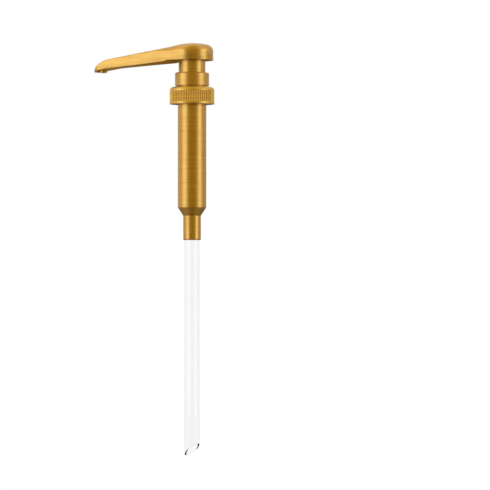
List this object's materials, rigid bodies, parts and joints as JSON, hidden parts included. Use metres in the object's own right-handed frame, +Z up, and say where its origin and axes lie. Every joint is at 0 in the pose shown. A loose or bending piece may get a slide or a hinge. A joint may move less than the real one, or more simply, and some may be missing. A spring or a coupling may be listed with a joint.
{
  "type": "condiment pump dispenser",
  "caption": "Screw-on pump for syrup or sauce bottles: long-spout press head, ribbed threaded cap, barrel with ball valves and spring piston, and a clear dip tube with a bevelled end.",
  "frame": {"origin": "on the pump's axis, in the plane of the bottle's rim, which is the underside of the neck gasket", "axes": "+Z up along the pump's axis, out of the bottle; -X towards the spout's outlet; +Y to complete a right-handed frame"},
  "size_m": [0.0928, 0.032, 0.2959],
  "materials": {
    "gold_plastic": "satin metallic gold, moulded",
    "natural_plastic": "natural translucent white",
    "seal_rubber": "pale food-grade silicone",
    "stainless_steel": "polished stainless",
    "clear_tube": "clear flexible tube"
  },
  "bodies": {
    "pump_body": {"pump_cylinder": "gold_plastic", "guide_collar": "gold_plastic", "stem_wiper": "seal_rubber", "wiper_retainer": "natural_plastic", "neck_gasket": "seal_rubber", "barrel_oring": "seal_rubber", "foot_valve_housing": "gold_plastic", "foot_oring": "seal_rubber", "inlet_ball_cage": "natural_plastic", "dip_tube": "clear_tube"},
    "closure": {"closure_cap": "gold_plastic"},
    "piston": {"piston_cup": "seal_rubber", "piston_retainer": "natural_plastic", "spring_seat": "natural_plastic", "return_spring": "stainless_steel"},
    "head": {"spout_head": "gold_plastic", "spout_tube": "gold_plastic", "head_core": "gold_plastic", "outlet_valve_seat": "natural_plastic", "lock_sleeve": "gold_plastic", "plunger_stem": "natural_plastic", "stem_oring": "seal_rubber"},
    "inlet_valve": {"inlet_ball": "stainless_steel"},
    "outlet_valve": {"outlet_ball": "stainless_steel"}
  },
  "joints": [
    {"name": "closure_turn", "type": "hinge", "parent": "pump_body", "child": "closure", "pos_m": [0, 0, 0], "axis": [0, 0, 1], "continuous": true},
    {"name": "head_lift", "type": "slide", "parent": "pump_body", "child": "piston", "axis": [0, 0, 1], "range_m": [0, 0.03], "deforming": ["return_spring"]},
    {"name": "head_turn", "type": "hinge", "parent": "piston", "child": "head", "pos_m": [0, 0, 0], "axis": [0, 0, 1], "continuous": true},
    {"name": "inlet_ball_lift", "type": "slide", "parent": "pump_body", "child": "inlet_valve", "axis": [0, 0, 1], "range_m": [0, 0.0018]},
    {"name": "outlet_ball_lift", "type": "slide", "parent": "head", "child": "outlet_valve", "axis": [0, 0, 1], "range_m": [0, 0.0012]}
  ]
}
